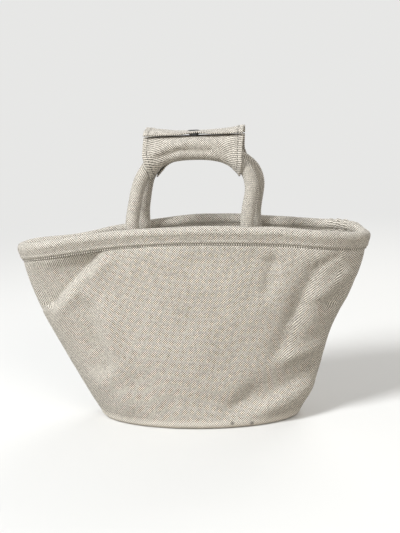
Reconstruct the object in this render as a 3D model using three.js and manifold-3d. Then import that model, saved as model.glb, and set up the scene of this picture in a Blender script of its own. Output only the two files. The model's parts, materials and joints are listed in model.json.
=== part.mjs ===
// Market bag of coarse oatmeal cloth: an oval base, two flaring panels, a corded rim,
// two round handles, and a cloth wrap that snaps shut over both handles.
// Millimetres, +Z up, front of the bag towards -Y, origin under the middle of the base.

import * as THREE from 'three';
import { mergeVertices } from 'three/addons/utils/BufferGeometryUtils.js';
import Module from 'manifold-3d';

// Body sizes, measured to the middle of the wall
const rimHalfLength = 218;
const rimHalfDepth = 48;
const rimTopHeight = 255;
const leftCornerDroop = 24.5;
const rightCornerDroop = 17.5;
const baseHalfLength = 127;
const baseHalfDepth = 65;
const sideFullness = 1.55;

// How the soft body stands: its right side is pressed in, its rim is slack on the left behind,
// and its ends are blunter than an ellipse
const sideDentDepth = 14.5;
const sideDentHeight = 95;
const sideDentReach = 52;
const slackRimSag = 7;
const slackRimPinch = 11;
const leftEndFullness = 0.26;
const rightEndFullness = 0.22;

// Widest folds of each wall: a line between two points (x, z), how far it spreads to the left and
// right of its own direction, and its height
const frontFolds = [
  { from: [-112, 233], to: [-190, 166], spread: [11, 36], height: -6 },
  { from: [38, 24], to: [85, 73], spread: [14, 14], height: -4 },
  { from: [112, 74], to: [155, 89], spread: [13, 13], height: -3 },
  { from: [142, 55], to: [85, 14], spread: [22, 22], height: 4 },
];
const backFolds = [
  { from: [130, 222], to: [195, 180], spread: [22, 22], height: -4.8 },
  { from: [-185, 150], to: [-150, 80], spread: [20, 20], height: -3.5 },
];

// Cloth, lining and board
const clothThickness = 1.6;
const liningThickness = 0.8;
const boardThickness = 2;

// Rim
const rimCordRadius = 5.5;
const bindingThickness = 1.2;
const bindingFlange = 6.5;

// Handles
const handleCoreRadius = 6.9;
const handleClothThickness = 1.3;
const handleHalfSpan = 71;
const handleStraightLeg = 34;
const handleArchRise = 52.5;
const handleArchPower = 2.5;
const handleTopSpacing = 20;
const handleRootRise = 3;
const handleSideLean = 0.07;
const handleTabWidth = 24;
const handleTabThickness = 3.4;
const handleTabDrop = 44;

// Wrap
const wrapHalfLength = 61;
const wrapFootHalfLength = 54;
const wrapHeadroom = 7.7;
const wrapFlareRise = 8.4;
const wrapFlatHalfLength = 12;
const flapOverhang = 8;
const flapEdgeDrop = 2;
const flapEdgeWidth = 5;
const tailOverlap = 3;
const tailShoulderInset = 4;

// Snap
const snapCapRadius = 7.5;
const snapCapThickness = 1.4;
const snapSocketRadius = 6;
const snapSocketHeight = 2.2;
const snapCavityRadius = 2.6;
const snapRoofThickness = 0.5;
const snapNibRadius = 2.1;
const snapFlangeRadius = 5.5;
const snapFlangeThickness = 0.8;
const snapPinRadius = 1.4;
const snapOffset = 4;

// Clearances
const layerGap = 0.3;
const boardClearance = 0.7;
const rootRollClearance = 0.4;
const wrapEase = 1.2;
const leafEdgeGap = 1.2;

// Facet counts
const rimSteps = 26;
const wallSteps = 8;
const handleSides = 12;
const archSteps = 16;
const roundSides = 20;
const plateSides = 44;

// Sizes that follow from those above
const wallHalf = (clothThickness + layerGap + liningThickness) / 2;
const wallFoot = clothThickness + layerGap;
const bindingBore = rimCordRadius + layerGap;
const rollRadius = bindingBore + bindingThickness;
const sleeveBore = handleCoreRadius + layerGap;
const sleeveRadius = sleeveBore + handleClothThickness;

const wasm = await Module();
wasm.setup();

const lerp = THREE.MathUtils.lerp;
const smoothstep = THREE.MathUtils.smoothstep;

// Solids from grids of points

function flipIfInsideOut(points, triangles) {
  let volume = 0;
  const normal = new THREE.Vector3();
  for (let i = 0; i < triangles.length; i += 3) {
    normal.crossVectors(points[triangles[i + 1]], points[triangles[i + 2]]);
    volume += points[triangles[i]].dot(normal);
  }
  if (volume < 0) {
    triangles.reverse();
  }
}

function geometryFrom(points, triangles) {
  flipIfInsideOut(points, triangles);
  const geometry = new THREE.BufferGeometry();
  geometry.setFromPoints(points);
  geometry.setIndex(triangles);
  geometry.computeVertexNormals();
  return geometry;
}

// A sheet with thickness: two grids of points, one for each face, closed along their borders.
// With closedAcross the rows are rings, and the sheet is a tube with open ends.
function sheetSolid(outer, inner, closedAcross = false) {
  const rows = outer.length;
  const columns = outer[0].length;
  const points = [...outer.flat(), ...inner.flat()];
  const triangles = [];
  const front = (i, j) => i * columns + (j % columns);
  const back = (i, j) => rows * columns + front(i, j);
  const quad = (a, b, c, d) => triangles.push(a, b, c, a, c, d);
  const lastColumn = closedAcross ? columns : columns - 1;
  for (let j = 0; j < lastColumn; j++) {
    for (let i = 0; i < rows - 1; i++) {
      quad(front(i, j), front(i + 1, j), front(i + 1, j + 1), front(i, j + 1));
      quad(back(i, j), back(i, j + 1), back(i + 1, j + 1), back(i + 1, j));
    }
    quad(front(0, j), front(0, j + 1), back(0, j + 1), back(0, j));
    quad(front(rows - 1, j), back(rows - 1, j), back(rows - 1, j + 1), front(rows - 1, j + 1));
  }
  for (let i = 0; i < rows - 1 && !closedAcross; i++) {
    quad(front(i, 0), back(i, 0), back(i + 1, 0), front(i + 1, 0));
    quad(front(i, lastColumn), front(i + 1, lastColumn), back(i + 1, lastColumn), back(i, lastColumn));
  }
  return geometryFrom(points, triangles);
}

// A solid rod through rings of points, closed at each end by a fan round an end point.
function rodSolid(rings, firstPoint, lastPoint) {
  const sides = rings[0].length;
  const points = [...rings.flat(), firstPoint, lastPoint];
  const first = points.length - 2;
  const last = points.length - 1;
  const triangles = [];
  const at = (i, j) => i * sides + (j % sides);
  for (let j = 0; j < sides; j++) {
    for (let i = 0; i < rings.length - 1; i++) {
      triangles.push(at(i, j), at(i, j + 1), at(i + 1, j + 1));
      triangles.push(at(i, j), at(i + 1, j + 1), at(i + 1, j));
    }
    triangles.push(first, at(0, j + 1), at(0, j));
    triangles.push(last, at(rings.length - 1, j), at(rings.length - 1, j + 1));
  }
  return geometryFrom(points, triangles);
}

function toManifold(geometry) {
  const bare = geometry.clone();
  bare.deleteAttribute('normal');
  bare.deleteAttribute('uv');
  const merged = mergeVertices(bare, 1e-4);
  const vertProperties = new Float32Array(merged.attributes.position.array);
  const triVerts = new Uint32Array(merged.index.array);
  return new wasm.Manifold(new wasm.Mesh({ numProp: 3, vertProperties, triVerts }));
}

function cutHole(geometry, cutter) {
  const result = toManifold(geometry).subtract(toManifold(cutter)).getMesh();
  const cut = new THREE.BufferGeometry();
  cut.setAttribute('position', new THREE.BufferAttribute(result.vertProperties, 3));
  cut.setIndex(new THREE.BufferAttribute(result.triVerts, 1));
  cut.computeVertexNormals();
  return cut;
}

// Finishes

const oatmealCloth = { color: 0xb8b1a2, roughness: 0.95, metalness: 0 };
const liningCloth = { color: 0xc9c3b5, roughness: 0.95, metalness: 0 };
const cottonCord = { color: 0xd8d2c4, roughness: 0.9, metalness: 0 };
const greyBoard = { color: 0x9a958a, roughness: 0.85, metalness: 0 };
const brushedSteel = { color: 0xa7a8a8, roughness: 0.35, metalness: 1 };

const bag = new THREE.Group();

function addPiece(parent, name, geometry, finish) {
  const piece = new THREE.Mesh(geometry, new THREE.MeshStandardMaterial(finish));
  piece.name = name;
  parent.add(piece);
  return piece;
}

// The body: every level is an ellipse, from the small deep base to the long narrow rim.
// rise is 0 at the foot of the wall and 1 at its top edge; offset is outward from mid-wall.

// 0 outside low to high, 1 from fullLow to fullHigh, smooth between.
function between(value, low, fullLow, fullHigh, high) {
  return smoothstep(value, low, fullLow) * (1 - smoothstep(value, fullHigh, high));
}

function rimHeight(angle) {
  const toRight = Math.cos(angle);
  const droop = toRight > 0 ? rightCornerDroop : leftCornerDroop;
  const slack = angle > 0 ? between(-toRight, -0.12, 0.5, 0.62, 0.99) : 0;
  return rimTopHeight - rollRadius - droop * toRight ** 2 - slackRimSag * slack;
}

function wallEdge(angle) {
  return rimHeight(angle) - bindingBore;
}

// Half the length of the body at a level: the sides flare quickly at first, then stand up.
function wallLength(rise) {
  return lerp(rimHalfLength, baseHalfLength, Math.max(1 - rise, 0) ** sideFullness);
}

// How far the folds push a wall outward at (x, z).
function foldHeight(folds, x, z) {
  const spot = new THREE.Vector2(x, z);
  let total = 0;
  for (const { from, to, spread, height } of folds) {
    const start = new THREE.Vector2(...from);
    const run = new THREE.Vector2(...to).sub(start);
    const reach = spot.clone().sub(start);
    const share = THREE.MathUtils.clamp(reach.dot(run) / run.lengthSq(), 0, 1);
    const width = run.cross(reach) > 0 ? spread[0] : spread[1];
    const gap = reach.addScaledVector(run, -share).length();
    total += height * Math.exp(-((gap / width) ** 2));
  }
  return total;
}

// How much blunter than an ellipse a level of the body is.
function endFullness(angle, rise) {
  const toRight = Math.cos(angle);
  const right = rightEndFullness * between(toRight, 0.5, 0.85, 0.92, 1) * rise ** 2;
  const left = angle < 0 ? leftEndFullness * between(-toRight, 0.35, 0.85, 0.92, 1) * rise : 0;
  return 1 + left + right;
}

function wallPoint(angle, rise, offset) {
  const toRight = Math.cos(angle);
  const height = lerp(wallFoot, wallEdge(angle), rise);
  const dentShare = Math.exp(-(((height - sideDentHeight) / sideDentReach) ** 2));
  const dent = toRight > 0 ? sideDentDepth * dentShare * smoothstep(rise, 0, 0.12) : 0;
  const length = wallLength(rise) - dent;
  const depth = lerp(baseHalfDepth, rimHalfDepth, rise);
  const outward = new THREE.Vector2(depth * toRight, length * Math.sin(angle)).normalize();
  const pinchShare = angle > 0 ? between(-toRight, 0.55, 0.8, 0.85, 0.999) : 0;
  const x = length * toRight;
  const y = depth * endFullness(angle, rise) * Math.sin(angle) - slackRimPinch * pinchShare * rise ** 2;
  const loose = between(rise, 0.01, 0.14, 0.88, 0.985) * smoothstep(Math.abs(Math.sin(angle)), 0, 0.3);
  const push = offset + loose * foldHeight(angle < 0 ? frontFolds : backFolds, x, height);
  const seamShift = Math.sign(angle) * layerGap / 2;
  return new THREE.Vector3(x + push * outward.x, y + push * outward.y + seamShift, height);
}

// How far up the wall the rim binding's flanges end.
function flangeFoot(angle) {
  return 1 - bindingFlange / (wallEdge(angle) - wallFoot);
}

// Angles of one half of the bag, from side seam to side seam: -1 for the front, 1 for the back.
function halfAngles(side) {
  const seam = 1e-9;
  const angles = [];
  for (let i = 0; i <= rimSteps; i++) {
    angles.push(side * lerp(seam, Math.PI - seam, i / rimSteps));
  }
  return angles;
}

function wallSheet(side, outerOffset, innerOffset) {
  const grid = (offset) => halfAngles(side).map((angle) => {
    const column = [];
    for (let k = 0; k < wallSteps; k++) {
      column.push(wallPoint(angle, flangeFoot(angle) * k / (wallSteps - 1), offset));
    }
    return [...column, wallPoint(angle, 1, offset)];
  });
  return sheetSolid(grid(outerOffset), grid(innerOffset));
}

function ovalPlate(inset, foot, thickness) {
  const outline = new THREE.Shape();
  const halfLength = baseHalfLength + wallHalf - inset;
  const halfDepth = baseHalfDepth + wallHalf - inset;
  outline.absellipse(0, 0, halfLength, halfDepth, 0, 2 * Math.PI);
  const plate = new THREE.ExtrudeGeometry(
    new THREE.Shape(outline.getPoints(plateSides).slice(0, -1)),
    { depth: thickness, bevelEnabled: false },
  );
  return plate.translate(0, 0, foot);
}

function addBody() {
  const insideWall = 2 * wallHalf + boardClearance;
  const boardFoot = clothThickness + layerGap;
  const liningFoot = boardFoot + boardThickness + layerGap;
  addPiece(bag, 'base_panel', ovalPlate(0, 0, clothThickness), oatmealCloth);
  addPiece(bag, 'base_board', ovalPlate(insideWall, boardFoot, boardThickness), greyBoard);
  addPiece(bag, 'base_lining', ovalPlate(insideWall, liningFoot, liningThickness), liningCloth);
  const panelInside = wallHalf - clothThickness;
  const liningOutside = panelInside - layerGap;
  for (const [half, side] of [['front', -1], ['back', 1]]) {
    addPiece(bag, `${half}_panel`, wallSheet(side, wallHalf, panelInside), oatmealCloth);
    addPiece(bag, `${half}_lining`, wallSheet(side, liningOutside, -wallHalf), liningCloth);
  }
}

// The rim: a strip of cloth rolled over the cord, whose two flanges take the wall's top edge
// between them. Its section is a keyhole, open at the bottom.

function rimSection(angle, radius, flangeOffset) {
  const rollSteps = 9;
  const flangeRise = flangeFoot(angle);
  const opening = Math.asin(flangeOffset / radius);
  const section = [wallPoint(angle, flangeRise, flangeOffset)];
  for (let k = 0; k <= rollSteps; k++) {
    const turn = lerp(opening, 2 * Math.PI - opening, k / rollSteps);
    const point = wallPoint(angle, 1, radius * Math.sin(turn));
    point.z = rimHeight(angle) - radius * Math.cos(turn);
    section.push(point);
  }
  section.push(wallPoint(angle, flangeRise, -flangeOffset));
  return section;
}

function addRim() {
  const slot = wallHalf + layerGap;
  const cordSides = 8;
  for (const [half, side] of [['front', -1], ['back', 1]]) {
    const angles = halfAngles(side);
    const outer = angles.map((angle) => rimSection(angle, rollRadius, slot + bindingThickness));
    const inner = angles.map((angle) => rimSection(angle, bindingBore, slot));
    addPiece(bag, `rim_binding_${half}`, sheetSolid(outer, inner), oatmealCloth);
    const centres = angles.map((angle) => wallPoint(angle, 1, 0).setZ(rimHeight(angle)));
    const rings = angles.map((angle) => {
      const ring = [];
      for (let k = 0; k < cordSides; k++) {
        const turn = 2 * Math.PI * k / cordSides;
        const point = wallPoint(angle, 1, rimCordRadius * Math.sin(turn));
        ring.push(point.setZ(rimHeight(angle) - rimCordRadius * Math.cos(turn)));
      }
      return ring;
    });
    addPiece(bag, `rim_cord_${half}`, rodSolid(rings, centres[0], centres.at(-1)), cottonCord);
  }
}

// The handles: a flat arch that leans in from its two roots just behind the rim.
// In the handle's own plane, x runs along the bag and climb runs up from the roots.

const rootAngle = Math.acos(handleHalfSpan / rimHalfLength);
const rimDepthAtRoot = rimHalfDepth * Math.sin(rootAngle);
const rootDepth = rimDepthAtRoot - rollRadius - rootRollClearance - sleeveRadius;
const rootHeight = rimTopHeight + handleRootRise;
const handleClimb = handleStraightLeg + handleArchRise;
const handleLean = Math.asin((rootDepth - handleTopSpacing / 2) / handleClimb);

// A point of the arch's centre line: turn is pi at the left leg and 0 at the right leg.
function archPoint(turn) {
  const roundness = 2 / handleArchPower;
  const across = Math.abs(Math.cos(turn)) ** roundness;
  const up = Math.max(Math.sin(turn), 0) ** roundness;
  return new THREE.Vector2(
    Math.sign(Math.cos(turn)) * handleHalfSpan * across,
    handleStraightLeg + handleArchRise * up,
  );
}

function archPath() {
  const path = [new THREE.Vector2(-handleHalfSpan, 0)];
  for (let i = 0; i <= archSteps; i++) {
    path.push(archPoint(Math.PI * (1 - i / archSteps)));
  }
  path.push(new THREE.Vector2(handleHalfSpan, 0));
  return path;
}

function ring(centre, along, radius) {
  const points = [];
  for (let k = 0; k < handleSides; k++) {
    const turn = 2 * Math.PI * k / handleSides;
    const inPlane = radius * Math.cos(turn);
    points.push(new THREE.Vector3(
      centre.x - along.y * inPlane,
      radius * Math.sin(turn),
      centre.y + along.x * inPlane,
    ));
  }
  return points;
}

// Rings along the arch, with each end rounded off about its root so that it can turn there.
function handleRings(radius) {
  const roundOff = [80, 55, 28].map(THREE.MathUtils.degToRad);
  const path = archPath();
  const rings = path.map((centre, i) => {
    const before = path[Math.max(i - 1, 0)];
    const after = path[Math.min(i + 1, path.length - 1)];
    return ring(centre, after.clone().sub(before).normalize(), radius);
  });
  const endRing = (x, slope, direction) => {
    const centre = new THREE.Vector2(x, -radius * Math.sin(slope));
    return ring(centre, new THREE.Vector2(0, direction), radius * Math.cos(slope));
  };
  const first = roundOff.map((slope) => endRing(-handleHalfSpan, slope, 1));
  const last = roundOff.map((slope) => endRing(handleHalfSpan, slope, -1)).reverse();
  return [...first, ...rings, ...last];
}

// The handles and their wrap lean to the right: each point moves by a share of its height.
function leanRight(geometry, foot, share) {
  const lean = new THREE.Matrix4().makeShear(0, 0, 0, 0, share, 0);
  return geometry.applyMatrix4(lean).translate(-share * foot, 0, 0);
}

function addHandle(half, side) {
  const handle = new THREE.Group();
  handle.position.set(0, side * rootDepth, rootHeight);
  handle.rotation.x = side * handleLean;
  const sleeve = sheetSolid(handleRings(sleeveRadius), handleRings(sleeveBore), true);
  const leftEnd = new THREE.Vector3(-handleHalfSpan, 0, -handleCoreRadius);
  const rightEnd = new THREE.Vector3(handleHalfSpan, 0, -handleCoreRadius);
  const core = rodSolid(handleRings(handleCoreRadius), leftEnd, rightEnd);
  const lean = handleSideLean * Math.cos(handleLean);
  addPiece(handle, `${half}_handle_sleeve`, leanRight(sleeve, 0, lean), oatmealCloth);
  addPiece(handle, `${half}_handle_core`, leanRight(core, 0, lean), cottonCord);
  bag.add(handle);
}

// The fixed end of a handle leg: round under the root, flattening to a tab on the lining.
function handleEnd(xSign, side) {
  const tabSteps = 7;
  const topHeight = rootHeight - sleeveRadius - layerGap;
  const angle = side * Math.acos(xSign * handleHalfSpan / rimHalfLength);
  const halfTab = handleTabThickness / 2;
  const rings = [];
  const centres = [];
  for (let i = 0; i <= tabSteps; i++) {
    const down = i / tabSteps;
    const height = topHeight - handleTabDrop * down;
    const rise = (height - wallFoot) / (wallEdge(angle) - wallFoot);
    const wallAngle = side * Math.acos(xSign * handleHalfSpan / wallLength(rise));
    const seatOffset = -(wallHalf + layerGap + halfTab);
    const seat = wallPoint(wallAngle, Math.min(rise, 1), seatOffset);
    const face = wallPoint(wallAngle, Math.min(rise, 1), seatOffset - 1).sub(seat).setZ(0).normalize();
    const flat = smoothstep(down, 0, 0.7);
    const toWall = smoothstep(down, 0.15, 0.8);
    const inward = new THREE.Vector3(0, -side, 0).lerp(face, toWall).normalize();
    const across = new THREE.Vector3(inward.y, -inward.x, 0);
    const centre = new THREE.Vector3(xSign * handleHalfSpan, side * rootDepth, height);
    centre.x = lerp(centre.x, seat.x, toWall);
    centre.y = lerp(centre.y, seat.y, toWall);
    const halfWidth = lerp(sleeveRadius, handleTabWidth / 2, flat);
    const halfThick = lerp(sleeveRadius, halfTab, flat);
    const section = [];
    for (let k = 0; k < handleSides; k++) {
      const turn = 2 * Math.PI * k / handleSides;
      const point = centre.clone();
      point.addScaledVector(across, halfWidth * Math.cos(turn));
      point.addScaledVector(inward, halfThick * Math.sin(turn));
      section.push(point);
    }
    rings.push(section);
    centres.push(centre);
  }
  return rodSolid(rings, centres[0], centres.at(-1));
}

function addHandles() {
  for (const [half, side] of [['front', -1], ['back', 1]]) {
    addHandle(half, side);
    for (const [hand, xSign] of [['left', -1], ['right', 1]]) {
      addPiece(bag, `handle_end_${half}_${hand}`, handleEnd(xSign, side), oatmealCloth);
    }
  }
}

// The wrap: a front leaf round the front handle, a back leaf round the back handle, and a flap
// that turns on the back leaf's top edge and snaps down over the front leaf's tail.
// Profiles across the wrap are (depth, height), depth outward from the middle of the bag.

const handleTopHeight = rootHeight + handleClimb * Math.cos(handleLean) + sleeveRadius;
const tailFoot = handleTopHeight + wrapHeadroom;
const tailTop = tailFoot + clothThickness;
const stackHeight = snapFlangeThickness + 3 * layerGap + snapSocketHeight;
const flapFoot = tailTop + stackHeight;
const flapHingeDepth = handleTopSpacing / 2 + sleeveRadius + wrapEase + clothThickness;
const flapHingeHeight = flapFoot - clothThickness - flapEdgeDrop;
const leafTop = flapHingeHeight - clothThickness / 2 - layerGap;
const tailDepth = handleTopSpacing / 2 + sleeveRadius + wrapEase - tailShoulderInset;
const snapShift = handleSideLean * (tailTop - rootHeight);

function wrapStations() {
  const between = [0, 0.2, 0.4, 0.55, 0.7, 0.85, 1];
  const reach = between.map((share) => lerp(wrapFlatHalfLength, wrapHalfLength, share));
  return [...reach.map((x) => -x).reverse(), 0, ...reach];
}

// How far up its plane the arch is at x, on a line that runs the given distance inside it.
function climbInside(x, inset) {
  const nudge = 1e-4;
  let low = 0;
  let high = Math.PI / 2;
  let point = archPoint(high);
  for (let i = 0; i < 40; i++) {
    const turn = (low + high) / 2;
    const along = archPoint(turn - nudge).sub(archPoint(turn + nudge)).normalize();
    point = archPoint(turn).add(new THREE.Vector2(along.y, -along.x).multiplyScalar(inset));
    if (point.x > Math.abs(x)) {
      low = turn;
    } else {
      high = turn;
    }
  }
  return point.y;
}

// The part of a leaf that runs under its handle and up to its outer side, as (x, depth, height).
function cradle(x, ease) {
  const roundSteps = 4;
  const reach = sleeveRadius + ease;
  const profile = [];
  for (let k = 0; k <= roundSteps; k++) {
    const turn = Math.PI / 2 * (1 - k / roundSteps);
    const climb = climbInside(x, reach * Math.sin(turn));
    const outward = reach * Math.cos(turn);
    profile.push([
      x,
      rootDepth - climb * Math.sin(handleLean) + outward * Math.cos(handleLean),
      rootHeight + climb * Math.cos(handleLean) + outward * Math.sin(handleLean),
    ]);
  }
  return [[x, leafEdgeGap / 2, profile[0][2]], ...profile];
}

function frontLeafProfile(x, outside) {
  const corner = 2;
  const top = tailFoot + outside;
  const shoulder = tailDepth + outside;
  return [
    [x, shoulder, top - corner],
    [x, shoulder - corner, top],
    [x, -tailOverlap, top],
  ];
}

function backLeafProfile(x, outside) {
  return [[x, flapHingeDepth + outside - clothThickness / 2, leafTop]];
}

// A leaf of the wrap, which is shorter under the handle than along its top.
function leaf(side, upperProfile) {
  const grid = (outside) => wrapStations().map((x) => {
    const footX = x * wrapFootHalfLength / wrapHalfLength;
    const profile = [...cradle(footX, wrapEase + outside), ...upperProfile(x, outside)];
    return profile.map(([along, depth, height]) => new THREE.Vector3(along, side * depth, height));
  });
  return sheetSolid(grid(clothThickness), grid(0));
}

// The flap's mid-line, from its hinge at the back over the top to its free front edge.
function flapProfile(x) {
  const flare = wrapFlareRise * smoothstep(Math.abs(x), wrapFlatHalfLength, wrapHalfLength);
  const middle = flapFoot + clothThickness / 2;
  const front = -(tailDepth + clothThickness + tailShoulderInset / 2);
  const backTop = flapHingeDepth - flapOverhang;
  return [
    new THREE.Vector2(flapHingeDepth, flapHingeHeight),
    new THREE.Vector2(flapHingeDepth - flapEdgeDrop, middle - flapEdgeDrop / 2 + flare * 0.5),
    new THREE.Vector2(backTop, middle + flare),
    new THREE.Vector2(tailOverlap, middle + flare),
    new THREE.Vector2(front + flapEdgeWidth, middle + flare * 0.5),
    new THREE.Vector2(front, middle - flapEdgeDrop),
  ];
}

function flapSheet() {
  const offsetProfile = (x, offset) => {
    const profile = flapProfile(x);
    return profile.map((point, i) => {
      const before = profile[Math.max(i - 1, 0)];
      const after = profile[Math.min(i + 1, profile.length - 1)];
      const along = after.clone().sub(before).normalize();
      return new THREE.Vector3(x, point.x + offset * along.y, point.y - offset * along.x);
    });
  };
  const grid = (offset) => wrapStations().map((x) => offsetProfile(x, offset));
  return sheetSolid(grid(clothThickness / 2), grid(-clothThickness / 2));
}

// A turned piece of the snap: its profile is (radius, height), starting and ending on the axis.
function turned(profile) {
  const lathe = new THREE.LatheGeometry(profile.map(([r, z]) => new THREE.Vector2(r, z)), roundSides);
  return lathe.rotateX(Math.PI / 2).translate(snapShift, -snapOffset, 0);
}

function pinHole(foot, top) {
  const radius = snapPinRadius + layerGap;
  const hole = new THREE.CylinderGeometry(radius, radius, top - foot, roundSides);
  return hole.rotateX(Math.PI / 2).translate(snapShift, -snapOffset, (foot + top) / 2);
}

function addWrap() {
  const past = 5;
  const leaning = (geometry) => leanRight(geometry, rootHeight, handleSideLean);
  const frontLeaf = leaning(leaf(-1, frontLeafProfile));
  const backLeaf = leaning(leaf(1, backLeafProfile));
  const flap = leaning(flapSheet());
  const tailHole = pinHole(tailFoot - past, tailTop + past);
  const flapHole = pinHole(flapFoot - past, flapFoot + past);
  addPiece(bag, 'wrap_front_leaf', cutHole(frontLeaf, tailHole), oatmealCloth);
  addPiece(bag, 'wrap_back_leaf', backLeaf, oatmealCloth);
  addPiece(bag, 'wrap_flap', cutHole(flap, flapHole), oatmealCloth);
}

function addSnap() {
  const postTop = tailFoot - layerGap;
  const postFoot = postTop - snapFlangeThickness;
  const studFoot = tailTop + layerGap;
  const studTop = studFoot + snapFlangeThickness;
  const socketFoot = studTop + layerGap;
  const socketTop = socketFoot + snapSocketHeight;
  const cavityRoof = socketTop - snapRoofThickness;
  const capFoot = flapFoot + clothThickness + layerGap;
  const capTop = capFoot + snapCapThickness;
  const edge = snapCapThickness / 2;
  const post = turned([
    [0, postFoot], [snapFlangeRadius, postFoot], [snapFlangeRadius, postTop],
    [snapPinRadius, postTop], [snapPinRadius, studFoot - layerGap], [0, studFoot - layerGap],
  ]);
  const nibTop = cavityRoof - layerGap;
  const stud = turned([
    [0, studFoot], [snapFlangeRadius, studFoot], [snapFlangeRadius, studTop],
    [snapNibRadius * 0.8, studTop], [snapNibRadius, (studTop + nibTop) / 2],
    [snapNibRadius * 0.8, nibTop], [0, nibTop],
  ]);
  const socket = turned([
    [0, cavityRoof], [snapCavityRadius, cavityRoof], [snapCavityRadius, socketFoot],
    [snapSocketRadius, socketFoot], [snapSocketRadius, socketTop], [0, socketTop],
  ]);
  const pinFoot = socketTop + layerGap;
  const cap = turned([
    [0, pinFoot], [snapPinRadius, pinFoot], [snapPinRadius, capFoot], [snapCapRadius - edge, capFoot],
    [snapCapRadius, capFoot + edge], [snapCapRadius - edge, capTop - edge / 3], [0, capTop],
  ]);
  addPiece(bag, 'snap_post', post, brushedSteel);
  addPiece(bag, 'snap_stud', stud, brushedSteel);
  addPiece(bag, 'snap_socket', socket, brushedSteel);
  addPiece(bag, 'snap_cap', cap, brushedSteel);
}

addBody();
addRim();
addHandles();
addWrap();
addSnap();

export default bag;
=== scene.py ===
# %% [markdown]
# # A market bag of coarse oatmeal cloth
# The bag is a soft shell: two flaring panels on an oval base, a corded rim, two round handles and
# a little cloth wrap that snaps shut over both handles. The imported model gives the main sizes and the
# hinges, so it is loaded first, and each cloth piece made below takes the place of its plain solid.

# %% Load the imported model
import json
import math

import bmesh
import bpy
import numpy as np
from mathutils import Matrix, Vector, noise


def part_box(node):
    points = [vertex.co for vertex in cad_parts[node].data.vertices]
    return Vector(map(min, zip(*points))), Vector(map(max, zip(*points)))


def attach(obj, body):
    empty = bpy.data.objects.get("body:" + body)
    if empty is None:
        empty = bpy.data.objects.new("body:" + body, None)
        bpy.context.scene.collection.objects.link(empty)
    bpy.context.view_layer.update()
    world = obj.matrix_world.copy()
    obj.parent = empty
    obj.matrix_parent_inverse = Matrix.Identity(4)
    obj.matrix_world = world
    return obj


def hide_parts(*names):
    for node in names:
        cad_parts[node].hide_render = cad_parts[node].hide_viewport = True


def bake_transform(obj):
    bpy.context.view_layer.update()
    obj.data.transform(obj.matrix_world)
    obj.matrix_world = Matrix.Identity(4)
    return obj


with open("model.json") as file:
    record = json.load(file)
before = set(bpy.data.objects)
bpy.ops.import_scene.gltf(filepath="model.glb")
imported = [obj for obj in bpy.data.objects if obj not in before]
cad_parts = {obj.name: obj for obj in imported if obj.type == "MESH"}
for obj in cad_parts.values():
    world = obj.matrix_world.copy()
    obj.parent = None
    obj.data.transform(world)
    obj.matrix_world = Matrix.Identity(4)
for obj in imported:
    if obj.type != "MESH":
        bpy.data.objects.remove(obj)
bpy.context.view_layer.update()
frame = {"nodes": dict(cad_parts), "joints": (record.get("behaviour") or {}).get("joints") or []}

# %% [markdown]
# ## The camera
# The photograph looks slightly down at the front from a little to the right. A camera can be turned by
# hand until the outline fits, but here its angles are kept as named values: where it stands round
# the bag, how high, how far, and the small roll of a hand-held picture.

# %% Camera
image_height_pixels = 533
focal_length_pixels = 950
sensor_long_side = 36
camera_azimuth = math.radians(6.73)
camera_elevation = math.radians(12.43)
camera_roll = math.radians(-2.46)
camera_distance = 1.206
camera_aim = Vector((0.0071, 0, 0.1944))

backward = Vector((
    math.sin(camera_azimuth) * math.cos(camera_elevation),
    -math.cos(camera_azimuth) * math.cos(camera_elevation),
    math.sin(camera_elevation),
))
level_right = Vector((0, 0, 1)).cross(backward).normalized()
level_up = backward.cross(level_right)
right = level_right * math.cos(camera_roll) + level_up * math.sin(camera_roll)
up = backward.cross(right)
camera_data = bpy.data.cameras.new("bag_camera")
camera_data.lens = focal_length_pixels / image_height_pixels * sensor_long_side
camera = bpy.data.objects.new("bag_camera", camera_data)
turned = Matrix((right, up, backward)).transposed().to_4x4()
camera.matrix_world = Matrix.Translation(camera_aim + backward * camera_distance) @ turned
bpy.context.scene.collection.objects.link(camera)
bpy.context.scene.camera = camera
print("lens %.1f mm, eye at" % camera_data.lens, [round(x, 3) for x in camera.location])

# %% [markdown]
# ## Floor and light
# A pale floor carries the shadow and fades into the backdrop; to the bag itself it gives back a
# little warm light. One large soft lamp stands high on the left like a window, a weaker warm one
# stands behind the camera and another behind the bag, and an even sky fills the rest, so that a
# colour renders about as it is written. The camera, and steel that mirrors it, see a paler floor and
# sky than the ones that light the cloth: the Light Path node tells these rays apart.

# %% Helpers for nodes
def add_node(tree, kind, **settings):
    """A shader node of this kind with these settings."""
    node = tree.nodes.new("ShaderNode" + kind)
    for name, value in settings.items():
        setattr(node, name, value)
    return node


def calc(tree, operation, *values):
    """One Math node; each value is a number or another node's output."""
    node = add_node(tree, "Math", operation=operation)
    for socket, value in zip(node.inputs, values):
        if isinstance(value, (int, float)):
            socket.default_value = value
        else:
            tree.links.new(value, socket)
    return node.outputs[0]


def clamped(output):
    """The same Math node's output, held between 0 and 1."""
    output.node.use_clamp = True
    return output


def seen_directly(tree):
    """1 for a ray that shows the backdrop, 0 for one that brings light to the cloth."""
    path = add_node(tree, "LightPath")
    seen = calc(tree, "MAXIMUM", path.outputs["Is Camera Ray"], path.outputs["Is Glossy Ray"])
    return calc(tree, "MAXIMUM", seen, path.outputs["Is Transmission Ray"])


# %% Floor
floor_half_size = 9.0

floor_mesh = bmesh.new()
bmesh.ops.create_grid(floor_mesh, x_segments=1, y_segments=1, size=floor_half_size)
floor_data = bpy.data.meshes.new("floor")
floor_mesh.to_mesh(floor_data)
floor_mesh.free()
floor = bpy.data.objects.new("floor", floor_data)
bpy.context.scene.collection.objects.link(floor)
print("floor %.0f m wide" % (2 * floor_half_size))

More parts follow.
